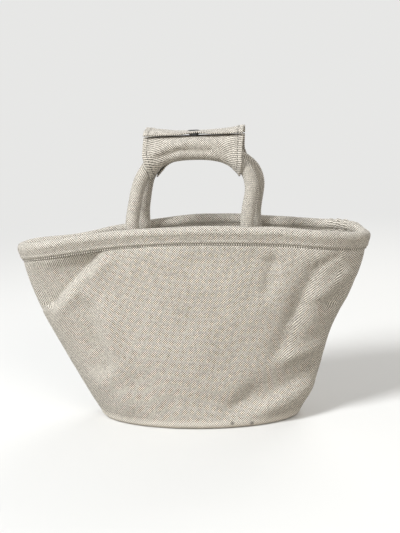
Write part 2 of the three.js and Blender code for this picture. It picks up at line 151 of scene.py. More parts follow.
# %% Floor finish
floor_colour = (0.74, 0.74, 0.73, 1)
floor_bounce_colour = (0.40, 0.375, 0.335, 1)
sky_colour = (0.80, 0.80, 0.79, 1)
fade_start = 0.5
fade_end = 1.6

floor_material = bpy.data.materials.new("pale floor")
floor_material.use_nodes = True
floor_tree = floor_material.node_tree
floor_link = floor_tree.links.new
floor_shader = floor_tree.nodes["Principled BSDF"]
floor_shader.inputs["Roughness"].default_value = 0.9
floor_shader.inputs["Specular IOR Level"].default_value = 0.1
floor_seen = seen_directly(floor_tree)
floor_tone = add_node(floor_tree, "Mix", data_type="RGBA")
floor_tone.inputs["A"].default_value = floor_bounce_colour
floor_tone.inputs["B"].default_value = floor_colour
floor_link(floor_seen, floor_tone.inputs["Factor"])
floor_link(floor_tone.outputs["Result"], floor_shader.inputs["Base Color"])
floor_place = add_node(floor_tree, "TexCoord")
floor_reach = add_node(floor_tree, "VectorMath", operation="LENGTH")
floor_link(floor_place.outputs["Object"], floor_reach.inputs[0])
floor_fade = add_node(floor_tree, "MapRange", interpolation_type="SMOOTHSTEP")
floor_fade.inputs["From Min"].default_value = fade_start
floor_fade.inputs["From Max"].default_value = fade_end
floor_link(floor_reach.outputs["Value"], floor_fade.inputs["Value"])
floor_far = add_node(floor_tree, "Emission")
floor_far.inputs["Color"].default_value = sky_colour
floor_mix = add_node(floor_tree, "MixShader")
floor_link(calc(floor_tree, "MULTIPLY", floor_fade.outputs["Result"], floor_seen), floor_mix.inputs["Fac"])
floor_link(floor_shader.outputs[0], floor_mix.inputs[1])
floor_link(floor_far.outputs[0], floor_mix.inputs[2])
floor_link(floor_mix.outputs[0], floor_tree.nodes["Material Output"].inputs["Surface"])
floor_data.materials.append(floor_material)
print("floor fades into the backdrop from %.1f to %.1f m" % (fade_start, fade_end))

# %% Sky
sky_strength = 0.35
sky_shown_strength = 1.0

scene = bpy.context.scene
scene.view_settings.view_transform = "Standard"
world = bpy.data.worlds.new("studio")
scene.world = world
world.use_nodes = True
sky_tree = world.node_tree
sky_tree.nodes.clear()
sky_light = add_node(sky_tree, "Background")
sky_light.inputs["Color"].default_value = (1, 1, 1, 1)
sky_light.inputs["Strength"].default_value = sky_strength
sky_shown = add_node(sky_tree, "Background")
sky_shown.inputs["Color"].default_value = sky_colour
sky_shown.inputs["Strength"].default_value = sky_shown_strength
sky_mix = add_node(sky_tree, "MixShader")
sky_out = add_node(sky_tree, "OutputWorld")
sky_tree.links.new(seen_directly(sky_tree), sky_mix.inputs["Fac"])
sky_tree.links.new(sky_light.outputs[0], sky_mix.inputs[1])
sky_tree.links.new(sky_shown.outputs[0], sky_mix.inputs[2])
sky_tree.links.new(sky_mix.outputs[0], sky_out.inputs["Surface"])
print("sky lights with %.2f and shows with %.2f" % (sky_strength, sky_shown_strength))

# %% Lamps
# Each lamp: name, place, width in metres, power in watts, colour.
lamp_aim = Vector((0, 0, 0.18))
lamps = (
    ("window", Vector((-2.0, -1.9, 2.7)), 1.1, 149, (0.985, 1.0, 1.01)),
    ("front", Vector((1.6, -2.4, 1.7)), 1.8, 29, (1.0, 0.945, 0.86)),
    ("back", Vector((0.9, 2.4, 1.5)), 2.4, 42, (1.0, 0.985, 0.96)),
)

for lamp_name, lamp_place, lamp_size, lamp_power, lamp_colour in lamps:
    lamp_data = bpy.data.lights.new(lamp_name, "AREA")
    lamp_data.shape = "DISK"
    lamp_data.size = lamp_size
    lamp_data.energy = lamp_power
    lamp_data.color = lamp_colour
    lamp = bpy.data.objects.new(lamp_name, lamp_data)
    lamp.location = lamp_place
    lamp.rotation_euler = (lamp_aim - lamp_place).to_track_quat("-Z", "Y").to_euler()
    scene.collection.objects.link(lamp)
print("lamps:", [lamp[0] for lamp in lamps])

# %% [markdown]
# ## The weave
# The cloth is a coarse plain weave: each thread passes over one and under one, pale threads one way
# and grey-brown ones the other, so from a step away the cloth looks speckled. Each thread is also
# painted darker where it dips between crossings, as painted shade. An image could show this, but a
# node group made of a few sums keeps it sharp at every distance, and every cloth piece can share it.
# It reads the piece's own UV map, which is measured in metres along the threads.

# %% Helpers for node groups
def start_group(name, inputs, outputs):
    """An empty node group with named sockets: (tree, its input node, its output node)."""
    tree = bpy.data.node_groups.new(name, "ShaderNodeTree")
    for socket_name, kind, value in inputs:
        socket = tree.interface.new_socket(socket_name, in_out="INPUT", socket_type=kind)
        if value is not None:
            socket.default_value = value
    for socket_name in outputs:
        tree.interface.new_socket(socket_name, in_out="OUTPUT", socket_type="NodeSocketFloat")
    return tree, tree.nodes.new("NodeGroupInput"), tree.nodes.new("NodeGroupOutput")


def random_by(tree, across, along):
    """A random value from 0 to 1 for each pair of whole numbers."""
    pair = add_node(tree, "CombineXYZ")
    tree.links.new(across, pair.inputs["X"])
    tree.links.new(along, pair.inputs["Y"])
    dice = add_node(tree, "TexWhiteNoise", noise_dimensions="2D")
    tree.links.new(pair.outputs[0], dice.inputs["Vector"])
    return dice.outputs["Value"]


# %% Weave group
strand_depth = 0.15
thread_roundness = 0.6
dark_thread_tone = 0.05
pale_thread_step = 0.88
height_shade = 0.35
height_shade_start = -0.2


def make_weave_group():
    tree, given, result = start_group(
        "Coarse weave",
        [
            ("Cloth", "NodeSocketVector", None),
            ("Thread pitch", "NodeSocketFloat", 0.0014),
            ("Unevenness", "NodeSocketFloat", 0.5),
        ],
        ["Pale thread", "Height"],
    )
    split = add_node(tree, "SeparateXYZ")
    tree.links.new(given.outputs["Cloth"], split.inputs[0])
    warp = calc(tree, "DIVIDE", split.outputs["X"], given.outputs["Thread pitch"])
    weft = calc(tree, "DIVIDE", split.outputs["Y"], given.outputs["Thread pitch"])
    warp_thread = calc(tree, "FLOOR", warp)
    weft_thread = calc(tree, "FLOOR", weft)
    crossing = calc(tree, "FLOORED_MODULO", calc(tree, "ADD", warp_thread, weft_thread), 2.0)
    warp_over = calc(tree, "LESS_THAN", crossing, 0.5)
    weft_over = calc(tree, "SUBTRACT", 1.0, warp_over)

    def arch(run):
        """Each thread rises and dips once between two crossings."""
        return calc(tree, "SINE", calc(tree, "MULTIPLY", calc(tree, "FRACT", run), math.pi))

    def strands(run):
        """Two fine strands lie side by side in each thread."""
        wave = calc(tree, "COSINE", calc(tree, "MULTIPLY", run, 4 * math.pi))
        return calc(tree, "MULTIPLY_ADD", wave, -strand_depth, 1 - strand_depth)

    bulge = calc(tree, "MULTIPLY", arch(warp), arch(weft))
    strand = calc(
        tree, "ADD",
        calc(tree, "MULTIPLY", warp_over, strands(warp)),
        calc(tree, "MULTIPLY", weft_over, strands(weft)),
    )
    height = calc(tree, "MULTIPLY", calc(tree, "POWER", bulge, thread_roundness), strand)
    chance = calc(tree, "SUBTRACT", random_by(tree, warp_thread, weft_thread), 0.5)
    uneven = calc(tree, "MULTIPLY", chance, given.outputs["Unevenness"])
    # Painted shade: each thread is painted darker where it dips between crossings.
    shade = calc(tree, "MULTIPLY_ADD", height, height_shade, height_shade_start)
    tone = calc(tree, "MULTIPLY_ADD", warp_over, pale_thread_step, dark_thread_tone)
    tone = clamped(calc(tree, "ADD", calc(tree, "ADD", tone, uneven), shade))
    tree.links.new(tone, result.inputs["Pale thread"])
    tree.links.new(height, result.inputs["Height"])
    return tree


weave_group = make_weave_group()
print("weave group:", len(weave_group.nodes), "nodes")

# %% [markdown]
# ## Needle holes
# Where thread goes through coarse cloth it leaves a row of small dimples between the stitches, where
# shade falls. The group marks a dot at every pitch along a row. The rim and the hems of the wrap share
# it: each says how far along and how far aside of its row a point lies, paints the dots darker as
# painted shade, and sinks them.

# %% Needle holes group
hole_edge_power = 3.0


def make_holes_group():
    tree, given, result = start_group(
        "Needle holes",
        [
            ("Along", "NodeSocketFloat", 0.0),
            ("Aside", "NodeSocketFloat", 1.0),
            ("Pitch", "NodeSocketFloat", 0.0033),
            ("Radius", "NodeSocketFloat", 0.0007),
        ],
        ["Hole"],
    )
    count = calc(tree, "DIVIDE", given.outputs["Along"], given.outputs["Pitch"])
    nearest = calc(tree, "ROUND", count)
    along = calc(tree, "MULTIPLY", calc(tree, "SUBTRACT", count, nearest), given.outputs["Pitch"])
    spot = add_node(tree, "CombineXYZ")
    tree.links.new(along, spot.inputs["X"])
    tree.links.new(given.outputs["Aside"], spot.inputs["Y"])
    reach = add_node(tree, "VectorMath", operation="LENGTH")
    tree.links.new(spot.outputs[0], reach.inputs[0])
    share = calc(tree, "DIVIDE", reach.outputs["Value"], given.outputs["Radius"])
    hole = clamped(calc(tree, "SUBTRACT", 1.0, calc(tree, "POWER", share, hole_edge_power)))
    tree.links.new(hole, result.inputs["Hole"])
    return tree


holes_group = make_holes_group()
print("needle holes group:", len(holes_group.nodes), "nodes")

# %% [markdown]
# ## Handling marks
# Cloth that has been carried isn't one even tone: it is a little greyer in broad soft patches, and
# mottled where it has creased and been pressed. Two noises on Object coordinates do this for every
# cloth, in one group.

# %% Soft patches group
# Each cloud: scale, detail, and the input that gives its amount.
clouds = ((9.0, 2.0, "Broad"), (70.0, 3.0, "Mottle"))


def make_patches_group():
    tree, given, result = start_group(
        "Soft patches",
        [
            ("Place", "NodeSocketVector", None),
            ("Broad", "NodeSocketFloat", 0.1),
            ("Mottle", "NodeSocketFloat", 0.1),
        ],
        ["Tone"],
    )
    parts = []
    for scale, detail, amount in clouds:
        cloud = add_node(tree, "TexNoise")
        cloud.inputs["Scale"].default_value = scale
        cloud.inputs["Detail"].default_value = detail
        tree.links.new(given.outputs["Place"], cloud.inputs["Vector"])
        centred = calc(tree, "SUBTRACT", cloud.outputs["Fac"], 0.5)
        parts.append(calc(tree, "MULTIPLY", centred, given.outputs[amount]))
    tone = calc(tree, "ADD", calc(tree, "ADD", parts[0], parts[1]), 1.0)
    tree.links.new(tone, result.inputs["Tone"])
    return tree


patches_group = make_patches_group()
print("patches group:", len(patches_group.nodes), "nodes")

# %% [markdown]
# ## Finishes
# One function makes every cloth: the weave picks between a dark and a pale thread, with painted shade
# where a thread dips, the patches change the tone, and the weave's height drives the bump. Rows of
# needle holes with painted shade are added where a cloth has them, and the body gets painted light
# along its base edge and two stains. The body, handles and lining differ only in their values.
# The snap is satin steel, and the board in the base is plain grey card.

# %% Needle holes on a cloth
cloth_map = "cloth_metres"
edge_map = "edge_metres"
stitch_pitch = 0.0033
hole_radius = 0.0010
hole_shade = 0.85


def split_map(tree, map_name):
    """The two lengths that a UV map of the cloth gives."""
    lengths = add_node(tree, "UVMap", uv_map=map_name)
    split = add_node(tree, "SeparateXYZ")
    tree.links.new(lengths.outputs["UV"], split.inputs[0])
    return split.outputs["X"], split.outputs["Y"]


def add_holes(tree, row, on_hems):
    """Needle holes on a row this far from the first edge, or on a row this far from each side."""
    along, aside = split_map(tree, cloth_map)
    if on_hems:
        aside, along = split_map(tree, edge_map)
    holes = add_node(tree, "Group", node_tree=holes_group)
    holes.inputs["Pitch"].default_value = stitch_pitch
    holes.inputs["Radius"].default_value = hole_radius
    tree.links.new(along, holes.inputs["Along"])
    tree.links.new(calc(tree, "SUBTRACT", aside, row), holes.inputs["Aside"])
    return holes.outputs["Hole"]


# %% Painted light along the base edge, and stains
lit_edge_height = 0.013
edge_light_share = 0.60
stain_radius = 0.0034
stain_shade = 0.65
# Each stain: x and z on the front.
stain_spots = ((0.0465, 0.0075), (0.0705, 0.0052))
base_low, base_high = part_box("base_panel")


def add_edge_light_and_stains(tree, place, pale, tone):
    """Painted light along the lowest part of the cloth at the base edge, with two small real stains in
    front.
    """
    split = add_node(tree, "SeparateXYZ")
    tree.links.new(place, split.inputs[0])
    height_share = calc(tree, "DIVIDE", split.outputs["Z"], lit_edge_height)
    near_floor = clamped(calc(tree, "SUBTRACT", 1.0, height_share))
    pale = clamped(calc(tree, "MULTIPLY_ADD", near_floor, edge_light_share, pale))
    for x, z in stain_spots:
        front = base_low.y * math.sqrt(1 - (x / base_high.x) ** 2)
        reach = add_node(tree, "VectorMath", operation="DISTANCE")
        tree.links.new(place, reach.inputs[0])
        reach.inputs[1].default_value = (x, front, z)
        share = calc(tree, "DIVIDE", reach.outputs["Value"], stain_radius)
        stain = clamped(calc(tree, "SUBTRACT", 1.0, calc(tree, "POWER", share, 2.0)))
        tone = calc(tree, "MULTIPLY", tone, calc(tree, "MULTIPLY_ADD", stain, -stain_shade, 1.0))
    return pale, tone


print("stains at", stain_spots)

# %% One function for every cloth
broad_patches = 0.16
fine_mottle = 0.14
thread_relief = 0.0004


def make_cloth(name, dark, pale, pitch, uneven, bump, row=None, on_hems=False, edge_light_and_stains=False):
    material = bpy.data.materials.new(name)
    material.use_nodes = True
    tree = material.node_tree
    shader = tree.nodes["Principled BSDF"]
    shader.inputs["Roughness"].default_value = 0.92
    shader.inputs["Specular IOR Level"].default_value = 0.2
    shader.inputs["Sheen Weight"].default_value = 0.1
    shader.inputs["Sheen Roughness"].default_value = 0.5
    threads = add_node(tree, "UVMap", uv_map=cloth_map)
    weave = add_node(tree, "Group", node_tree=weave_group)
    weave.inputs["Thread pitch"].default_value = pitch
    weave.inputs["Unevenness"].default_value = uneven
    tree.links.new(threads.outputs["UV"], weave.inputs["Cloth"])
    place = add_node(tree, "TexCoord").outputs["Object"]
    patches = add_node(tree, "Group", node_tree=patches_group)
    patches.inputs["Broad"].default_value = broad_patches
    patches.inputs["Mottle"].default_value = fine_mottle
    tree.links.new(place, patches.inputs["Place"])
    tone = patches.outputs["Tone"]
    height = weave.outputs["Height"]
    pale_thread = weave.outputs["Pale thread"]
    # Needle holes: painted shade darkens them, and the bump sinks them.
    if row is not None:
        hole = add_holes(tree, row, on_hems)
        tone = calc(tree, "MULTIPLY", tone, calc(tree, "MULTIPLY_ADD", hole, -hole_shade, 1.0))
        height = calc(tree, "SUBTRACT", height, hole)
    # Painted light along the base edge, and two real stains.
    if edge_light_and_stains:
        pale_thread, tone = add_edge_light_and_stains(tree, place, pale_thread, tone)
    thread_colour = add_node(tree, "Mix", data_type="RGBA")
    thread_colour.inputs["A"].default_value = (*dark, 1)
    thread_colour.inputs["B"].default_value = (*pale, 1)
    tree.links.new(pale_thread, thread_colour.inputs["Factor"])
    toned = add_node(tree, "VectorMath", operation="SCALE")
    tree.links.new(thread_colour.outputs["Result"], toned.inputs[0])
    tree.links.new(tone, toned.inputs["Scale"])
    tree.links.new(toned.outputs["Vector"], shader.inputs["Base Color"])
    relief = add_node(tree, "Bump")
    relief.inputs["Strength"].default_value = bump
    relief.inputs["Distance"].default_value = thread_relief
    tree.links.new(height, relief.inputs["Height"])
    tree.links.new(relief.outputs["Normal"], shader.inputs["Normal"])
    return material


# %% The cloths
oatmeal_look = dict(
    dark=(0.085, 0.074, 0.059), pale=(0.97, 0.915, 0.82), pitch=0.00145, uneven=0.30, bump=0.8)
small_piece_look = dict(oatmeal_look, pitch=0.00130, uneven=0.36)
oatmeal = make_cloth("oatmeal weave", edge_light_and_stains=True, **oatmeal_look)
handle_weave = make_cloth("oatmeal handle", **small_piece_look)
lining_cloth = make_cloth(
    "plain lining", dark=(0.50, 0.47, 0.41), pale=(0.70, 0.67, 0.60),
    pitch=0.0006, uneven=0.2, bump=0.3,
)
sewing_thread = make_cloth(
    "sewing thread", dark=(0.46, 0.43, 0.37), pale=(0.74, 0.70, 0.63),
    pitch=0.0004, uneven=0.3, bump=0.3,
)
print("cloths:", [cloth.name for cloth in (oatmeal, handle_weave, lining_cloth, sewing_thread)])

# %% Steel and board
grain_detail = 3.0
grain_shade = 0.3


def make_plain(name, colour, rough, metallic, grain_scale, rough_spread):
    """A finish of one colour whose tone and roughness vary with a fine grain."""
    material = bpy.data.materials.new(name)
    material.use_nodes = True
    tree = material.node_tree
    shader = tree.nodes["Principled BSDF"]
    shader.inputs["Metallic"].default_value = metallic
    place = add_node(tree, "TexCoord")
    grain = add_node(tree, "TexNoise")
    grain.inputs["Scale"].default_value = grain_scale
    grain.inputs["Detail"].default_value = grain_detail
    tree.links.new(place.outputs["Object"], grain.inputs["Vector"])
    spread = calc(tree, "MULTIPLY_ADD", grain.outputs["Fac"], rough_spread, rough - rough_spread / 2)
    tree.links.new(spread, shader.inputs["Roughness"])
    shade = calc(tree, "MULTIPLY_ADD", grain.outputs["Fac"], grain_shade, 1 - grain_shade / 2)
    tint = add_node(tree, "VectorMath", operation="SCALE")
    tint.inputs[0].default_value = colour
    tree.links.new(shade, tint.inputs["Scale"])
    tree.links.new(tint.outputs["Vector"], shader.inputs["Base Color"])
    return material


snap_steel = make_plain(
    "satin steel", (0.11, 0.11, 0.108), rough=0.30, metallic=1.0, grain_scale=900.0, rough_spread=0.16)
grey_board = make_plain(
    "grey board", (0.32, 0.31, 0.28), rough=0.85, metallic=0.0, grain_scale=300.0, rough_spread=0.1)
print("materials:", [material.name for material in bpy.data.materials])

# %% [markdown]
# ## Cutting and laying cloth
# Every cloth piece starts the same way, as when it is cut out: a flat grid of squares. A placing
# function then says where each point of the grid lies on the bag. The lengths along the laid
# threads are measured back into the UV map, so that the weave keeps its size and follows the cut.
# A tube is a grid whose two long edges meet and are merged.

# %% The cloth helper
merge_distance = 1e-6


def lay_cloth(name, columns, rows, place, material, thickness=0.0, close_ends=False):
    """A grid of columns by rows, each point at place(u, v), with lengths of thread as UV maps."""
    points = np.array([
        [place(i / columns, j / rows) for i in range(columns + 1)] for j in range(rows + 1)
    ])
    across = np.linalg.norm(np.diff(points, axis=1), axis=2).cumsum(axis=1)
    across = np.pad(across, ((0, 0), (1, 0)))
    across -= across[:, columns // 2:columns // 2 + 1]
    along = np.linalg.norm(np.diff(points, axis=0), axis=2).cumsum(axis=0)
    along = np.pad(along, ((1, 0), (0, 0)))
    from_side = np.minimum(across - across[:, :1], across[:, -1:] - across)
    mesh = bmesh.new()
    uv = mesh.loops.layers.uv.new(cloth_map)
    edge_uv = mesh.loops.layers.uv.new(edge_map)
    bmesh.ops.create_grid(mesh, x_segments=columns, y_segments=rows, size=0.5)
    where = {}
    for vert in mesh.verts:
        i = round((vert.co.x + 0.5) * columns)
        j = round((vert.co.y + 0.5) * rows)
        where[vert] = (j, i)
        vert.co = points[j, i]
    for face in mesh.faces:
        face.smooth = True
        for loop in face.loops:
            spot = where[loop.vert]
            loop[uv].uv = (across[spot], along[spot])
            loop[edge_uv].uv = (from_side[spot], along[spot])
    bmesh.ops.remove_doubles(mesh, verts=mesh.verts, dist=merge_distance)
    if close_ends:
        rims = [edge for edge in mesh.edges if edge.is_boundary]
        bmesh.ops.holes_fill(mesh, edges=rims, sides=0)
    piece = finish_mesh(name, mesh, material)
    if thickness:
        wall = piece.modifiers.new("cloth", "SOLIDIFY")
        wall.thickness = thickness
        wall.offset = 0
    width = across.max() - across.min()
    length = along.max()
    area = sum(polygon.area for polygon in piece.data.polygons)
    print("%s: %.0f x %.0f mm flat, %.0f cm2" % (name, width * 1e3, length * 1e3, area * 1e4))
    return piece, (width, length), min(area, width * length)


def finish_mesh(name, mesh, material):
    """The object of a finished bmesh, in its material."""
    data = bpy.data.meshes.new(name)
    mesh.to_mesh(data)
    mesh.free()
    data.materials.append(material)
    piece = bpy.data.objects.new(name, data)
    scene.collection.objects.link(piece)
    return piece


def dress(piece, body, slot, *nodes):
    """The piece rides on a body and stands for these solids; the slot is not used."""
    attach(piece, body)
    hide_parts(*nodes)


# %% Helpers for shapes
def mix(low, high, share):
    return low + (high - low) * share


def ease(low, high, value):
    """0 below low, 1 above high, smooth between."""
    share = min(max((value - low) / (high - low), 0.0), 1.0)
    return share * share * (3 - 2 * share)


def between(low, full_low, full_high, high, value):
    """0 outside low to high, 1 from full_low to full_high, smooth between."""
    return ease(low, full_low, value) * (1 - ease(full_high, high, value))


def bump_at(middle, width, value):
    """1 at the middle, dying out smoothly over this width."""
    return math.exp(-(((value - middle) / width) ** 2))


def smooth_noise(x, y, z):
    """A smooth random value from about -1 to 1; a call's factors set how often it waves, a plain
    number is its seed."""
    return noise.noise(Vector((x, y, z)))


# %% [markdown]
# ## The shape of the body
# Every level of the bag is an oval, small and deep at the base, long and narrow at the rim. The
# sides flare quickly and then stand up, the rim droops towards its two corners, and the real bag
# isn't even: its right side is pressed in and its left corner hangs lower. These few functions
# say where the wall is, and the panels, lining and rim are all laid on them.

# %% Body sizes from the frame
cloth_thickness = 0.0016
lining_thickness = 0.0008
layer_gap = 0.0003
binding_thickness = 0.0012
cord_radius = 0.0055
flange_run = 0.0098

wall_half = (cloth_thickness + layer_gap + lining_thickness) / 2
wall_foot = cloth_thickness + layer_gap
binding_bore = cord_radius + layer_gap
roll_radius = binding_bore + binding_thickness
rim_low, rim_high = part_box("rim_binding_front")
rim_half_length = rim_high.x - roll_radius
rim_half_depth = -rim_low.y - roll_radius
rim_top = rim_high.z
base_half_length = base_high.x - wall_half
base_half_depth = base_high.y - wall_half
print("rim half %.3f x %.3f, base half %.3f x %.3f" % (
    rim_half_length, rim_half_depth, base_half_length, base_half_depth))

# %% How the body is out of shape
# A span says where a form starts, is full, is still full and has died out, as a share of the way from
# the middle of the bag to a side seam. A dent has a depth, a height and a reach.
side_fullness = 1.55
rim_lean = -0.0035
corner_droop = 0.020
left_corner_extra = 0.0045
right_corner_extra = -0.0025
back_sag = 0.007
back_sag_span = (-0.12, 0.5, 0.62, 0.99)
blunt_rise = 0.0050
blunt_span = (0.70, 0.92, 0.95, 0.998)
back_pinch = 0.012
back_pinch_span = (0.46, 0.70, 0.82, 0.999)
right_fullness = 0.32
right_fullness_span = (0.5, 0.85, 0.95, 1.0)
left_fullness = 0.26
left_fullness_span = (0.35, 0.85, 0.92, 1.0)
right_dent = (0.0150, 0.116, 0.060)
left_dent = (0.0035, 0.085, 0.060)
dent_start = 0.12


def rim_height(angle):
    """Height of the rim cord's centre line: behind, it is slack on the left and blunt on the right."""
    side = math.cos(angle)
    extra = left_corner_extra if side < 0 else right_corner_extra
    droop = (corner_droop + extra) * side * side
    if angle > 0:
        droop += back_sag * between(*back_sag_span, -side)
        droop -= blunt_rise * between(*blunt_span, side)
    return rim_top - roll_radius - droop


def wall_edge(angle):
    """Height of the wall's top edge, inside the binding."""
    return rim_height(angle) - binding_bore


print("rim cord %.3f m high in front, %.3f at the left seam, %.3f at the right seam" % (
    rim_height(-math.pi / 2), rim_height(-math.pi), rim_height(0.0)))


# %% Where the wall is
def rise_at(angle, height):
    """The rise that lies at this height: 0 at the foot and 1 at the top edge."""
    return (height - wall_foot) / (wall_edge(angle) - wall_foot)


def wall_length(rise):
    """Half the length of the oval at a rise, before the dents."""
    return mix(rim_half_length, base_half_length, max(1 - rise, 0.0) ** side_fullness)


def wall_point(angle, rise, offset):
    """A point of the wall, this far outside its middle, and its outward direction."""
    side = math.cos(angle)
    height = mix(wall_foot, wall_edge(angle), rise)
    dent, dent_height, dent_reach = right_dent if side > 0 else left_dent
    pressed = dent * bump_at(dent_height, dent_reach, height) * ease(0.0, dent_start, rise)
    length = wall_length(rise) - pressed
    depth = mix(base_half_depth, rim_half_depth, rise)
    outward = Vector((depth * side, length * math.sin(angle), 0)).normalized()
    depth *= 1 + right_fullness * between(*right_fullness_span, side) * rise * rise
    if angle < 0:
        depth *= 1 + left_fullness * between(*left_fullness_span, -side) * rise
    middle = Vector((rim_lean * rise, 0, height))
    point = middle + Vector((length * side, depth * math.sin(angle), 0))
    if angle > 0:
        point.y -= back_pinch * between(*back_pinch_span, -side) * rise * rise
    return point + outward * offset, outward


print("wall %.3f m long at half its height" % (2 * wall_length(0.5)))

# %% Even steps along the rim
panel_columns = 240
panel_rows = 128
fine_steps = 4000


def even_angles(steps):
    """Angles from the right seam to the left seam, evenly spaced along the rim."""
    fine = np.linspace(0, math.pi, fine_steps + 1)
    speed = np.hypot(rim_half_length * np.sin(fine), rim_half_depth * np.cos(fine))
    run = np.concatenate(([0], np.cumsum((speed[1:] + speed[:-1]) / 2)))
    return np.interp(np.linspace(0, run[-1], steps + 1), run, fine)


rim_angles = even_angles(panel_columns)


def angle_at(share, side):
    """Angle at a share of the way along one half: left to right in front, right to left behind."""
    angle = float(np.interp(share * panel_columns, range(panel_columns + 1), rim_angles))
    return angle - math.pi if side < 0 else angle


print("first step along the rim turns %.2f degrees" % math.degrees(rim_angles[1]))

# %% [markdown]
# ## Folds
# Soft cloth holds its creases. On the front there is a pale diagonal ridge below the left end of the rim
# with a pressed-in corner above it, a soft upright ridge further down, a short crease by the right
# edge, and a long shallow hollow from the right side down to the base. A sculptor would push
# these in with a brush. Here each is a line with a width and a height, added along the wall's outward
# direction, and a little smooth noise keeps the rest from looking ironed.

# %% Fold lines
# Each fold: start (x, z), end (x, z), how far it spreads left and right of that direction, height.
# A fold is rounded, but on a side where it spreads further than this it slopes evenly, as a facet.
flat_fold_spread = 0.05
front_folds = (
    ((-0.109, 0.232), (-0.182, 0.158), 0.0068, 0.062, -0.0118),
    ((-0.096, 0.219), (-0.122, 0.194), 0.007, 0.006, 0.0018),
    ((-0.146, 0.172), (-0.169, 0.147), 0.007, 0.006, 0.0016),
    ((-0.110, 0.144), (-0.094, 0.074), 0.014, 0.012, 0.0026),
    ((-0.131, 0.152), (-0.114, 0.080), 0.012, 0.016, -0.0050),
    ((0.051, 0.018), (0.132, 0.060), 0.023, 0.013, -0.0086),
    ((0.044, 0.014), (0.070, 0.045), 0.010, 0.011, -0.0028),
    ((0.106, 0.096), (0.138, 0.148), 0.014, 0.012, -0.0046),
    ((0.118, 0.071), (0.150, 0.081), 0.006, 0.007, -0.0024),
    ((0.122, 0.086), (0.152, 0.095), 0.009, 0.009, 0.0036),
    ((0.142, 0.038), (0.085, 0.008), 0.020, 0.020, 0.0044),
    ((0.199, 0.177), (0.168, 0.153), 0.005, 0.004, -0.0052),
    ((0.190, 0.188), (0.160, 0.164), 0.007, 0.009, 0.0040),
    ((0.202, 0.163), (0.176, 0.145), 0.007, 0.007, 0.0024),
    ((0.174, 0.136), (0.158, 0.120), 0.005, 0.005, 0.0024),
    ((0.166, 0.128), (0.154, 0.110), 0.006, 0.006, -0.0024),
    ((0.151, 0.192), (0.124, 0.138), 0.008, 0.012, -0.0046),
    ((0.100, 0.206), (0.094, 0.172), 0.009, 0.009, -0.0034),
    ((0.177, 0.213), (0.158, 0.200), 0.006, 0.007, -0.0030),
    ((-0.030, 0.060), (-0.080, 0.030), 0.018, 0.018, 0.0012),
    ((-0.102, 0.062), (-0.080, 0.024), 0.022, 0.028, 0.0030),
)
back_folds = (
    ((0.090, 0.225), (0.170, 0.150), 0.010, 0.010, 0.0036),
    ((0.130, 0.222), (0.195, 0.180), 0.022, 0.022, -0.0050),
    ((-0.185, 0.150), (-0.150, 0.080), 0.020, 0.018, -0.0042),
    ((-0.150, 0.120), (-0.070, 0.050), 0.014, 0.016, -0.0022),
    ((-0.140, 0.190), (-0.125, 0.120), 0.012, 0.012, 0.0026),
    ((0.060, 0.120), (0.075, 0.050), 0.016, 0.016, 0.0022),
)


def fold_height(folds, x, z):
    """All folds together at a spot."""
    total = 0.0
    spot = Vector((x, z))
    for start, end, left, right, height in folds:
        first = Vector(start)
        run = Vector(end) - first
        reach = spot - first
        share = min(max(reach.dot(run) / run.length_squared, 0.0), 1.0)
        width = left if run.cross(reach) > 0 else right
        aside = (reach - run * share).length / width
        total += height * (max(1 - aside, 0.0) if width > flat_fold_spread else math.exp(-aside * aside))
    return total


print("fold lines: %d in front, %d behind" % (len(front_folds), len(back_folds)))

# %% The draped wall
# Each sway: waves per metre across and up, its own seed, height.
cloth_sways = ((14, 16, 3.0, 0.0024), (34, 24, 10.0, 0.0013), (75, 60, 16.0, 0.0006))
fold_span = (0.01, 0.14, 0.88, 0.985)
right_seam_reach = 0.30
left_seam_reach = 0.50
pucker_height = 0.0011
pucker_waves_across = 70
pucker_waves_up = 22
pucker_span = (flange_run, 0.017, 0.022, 0.048)
puff_height = 0.0012
puff_span = (flange_run - 0.001, flange_run + 0.002, flange_run + 0.003, 0.036)
seam_groove_depth = 0.0012
seam_groove_width = 0.06


def cloth_sway(point, side):
    """Slow unevenness of a hand-sewn cloth wall."""
    return sum(
        height * smooth_noise(point.x * across, point.z * up, seed + side)
        for across, up, seed, height in cloth_sways)


def draped_wall(angle, rise, offset, side):
    """The wall with its folds, which die out at the rim, the base and the side seams."""
    point, outward = wall_point(angle, rise, offset)
    folds = front_folds if side < 0 else back_folds
    push = fold_height(folds, point.x, point.z) + cloth_sway(point, side)
    push *= between(*fold_span, rise)
    below_edge = (1 - rise) * (wall_edge(angle) - wall_foot)
    pucker = smooth_noise(point.x * pucker_waves_across, point.z * pucker_waves_up, 2.0 + side)
    push += pucker_height * pucker * between(*pucker_span, below_edge)
    push += puff_height * between(*puff_span, below_edge)
    seam_reach = right_seam_reach if math.cos(angle) > 0 else left_seam_reach
    push *= ease(0.0, seam_reach, abs(math.sin(angle)))
    return point + outward * (push - seam_groove_depth * bump_at(0.0, seam_groove_width, math.sin(angle)))


print("cloth sways by up to %.1f mm" % (1e3 * sum(sway[3] for sway in cloth_sways)))

# %% [markdown]
# ## Panels, lining and base
# The front and back panels meet at the two side seams. Each runs from under the base edge, round a
# small bend, up to the rim, where its top edge is hidden inside the binding. The lining repeats the
# same wall a little further in, so it shares every fold. A cloth simulation could let the wall sag by
# itself, but the folds would land somewhere else than on the photographed bag.

# %% Front and back panels
base_bend = 0.006
panel_offset = wall_half - cloth_thickness / 2
bend_run = base_bend * math.pi / 2
wall_run = rim_top - 2 * roll_radius - base_bend
bend_share = bend_run / (bend_run + wall_run)
halves = (("front", -1), ("back", 1))


